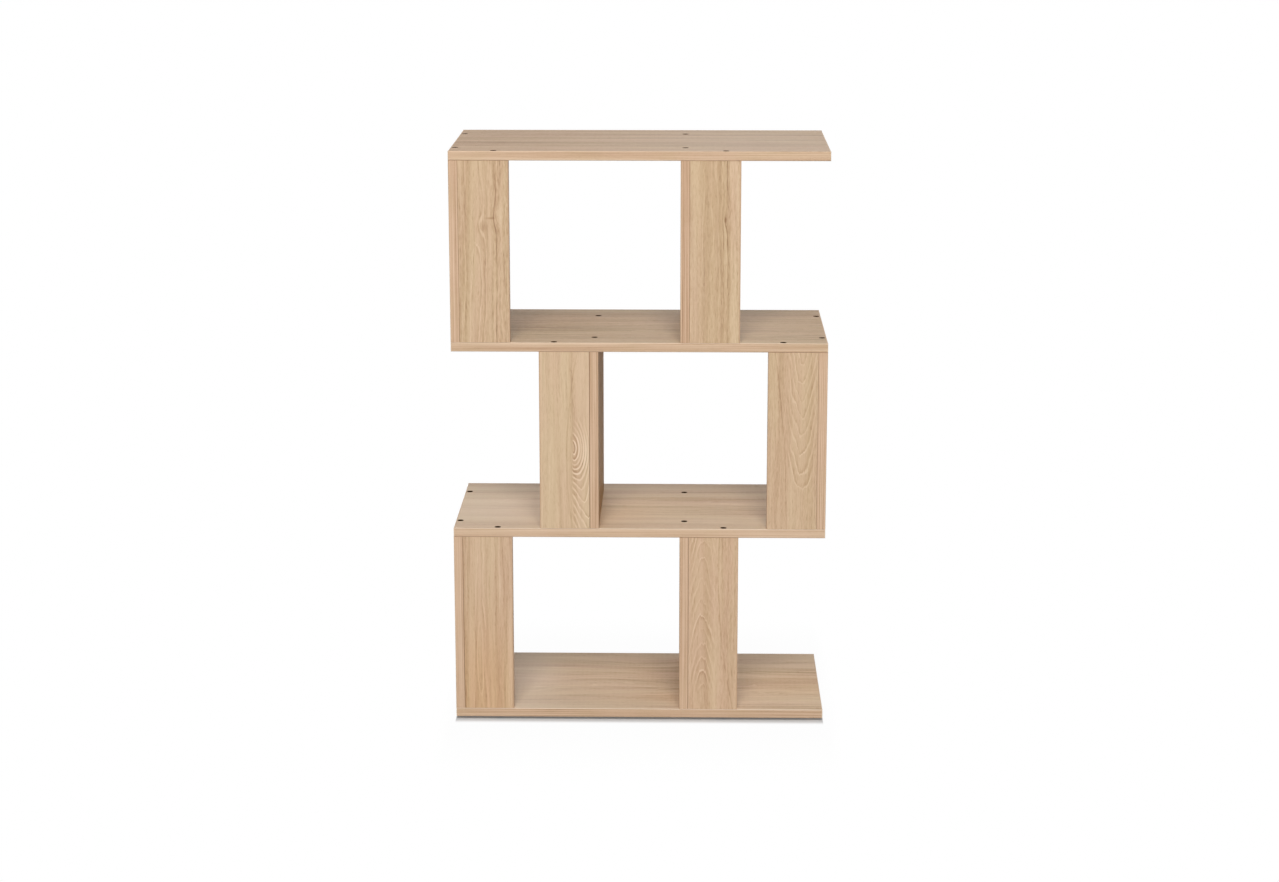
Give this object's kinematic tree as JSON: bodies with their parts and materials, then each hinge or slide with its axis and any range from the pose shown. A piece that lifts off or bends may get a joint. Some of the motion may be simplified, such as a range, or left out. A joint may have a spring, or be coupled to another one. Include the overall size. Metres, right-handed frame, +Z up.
{
  "type": "zigzag bookshelf",
  "caption": "Free-standing open bookshelf of light oak melamine boards whose tiers step from side to side on L-shaped posts.",
  "frame": {"origin": "on the floor, under the middle of the base shelf", "axes": "+Z up, the front towards -Y, +X to the right seen from the front"},
  "size_m": [0.6, 0.3, 0.935],
  "materials": {
    "oak_melamine": "satin wood-print melamine on particleboard",
    "oak_edge_band": "satin wood-print edge strip",
    "dowel_wood": "bare beech",
    "screw_steel": "dark bronze plating",
    "glide_plastic": "dark brown moulded plastic",
    "nail_steel": "bright zinc plating"
  },
  "bodies": {
    "root": {"base_glides": "glide_plastic", "base_shelf": "oak_melamine", "base_shelf_bands": "oak_edge_band", "bottom_end_return_band": "oak_edge_band", "bottom_end_return_panel": "oak_melamine", "bottom_end_side_bands": "oak_edge_band", "bottom_end_side_panel": "oak_melamine", "bottom_inner_return_band": "oak_edge_band", "bottom_inner_return_panel": "oak_melamine", "bottom_inner_side_bands": "oak_edge_band", "bottom_inner_side_panel": "oak_melamine", "bottom_tier_dowels": "dowel_wood", "bottom_tier_lower_screws": "screw_steel", "bottom_tier_upper_screws": "screw_steel", "glide_nails": "nail_steel", "lower_shelf": "oak_melamine", "lower_shelf_bands": "oak_edge_band", "middle_end_return_band": "oak_edge_band", "middle_end_return_panel": "oak_melamine", "middle_end_side_bands": "oak_edge_band", "middle_end_side_panel": "oak_melamine", "middle_inner_return_band": "oak_edge_band", "middle_inner_return_panel": "oak_melamine", "middle_inner_side_bands": "oak_edge_band", "middle_inner_side_panel": "oak_melamine", "middle_tier_dowels": "dowel_wood", "middle_tier_lower_screws": "screw_steel", "middle_tier_upper_screws": "screw_steel", "top_end_return_band": "oak_edge_band", "top_end_return_panel": "oak_melamine", "top_end_side_bands": "oak_edge_band", "top_end_side_panel": "oak_melamine", "top_inner_return_band": "oak_edge_band", "top_inner_return_panel": "oak_melamine", "top_inner_side_bands": "oak_edge_band", "top_inner_side_panel": "oak_melamine", "top_shelf": "oak_melamine", "top_shelf_bands": "oak_edge_band", "top_tier_dowels": "dowel_wood", "top_tier_lower_screws": "screw_steel", "top_tier_upper_screws": "screw_steel", "upper_shelf": "oak_melamine", "upper_shelf_bands": "oak_edge_band"}
  },
  "joints": []
}
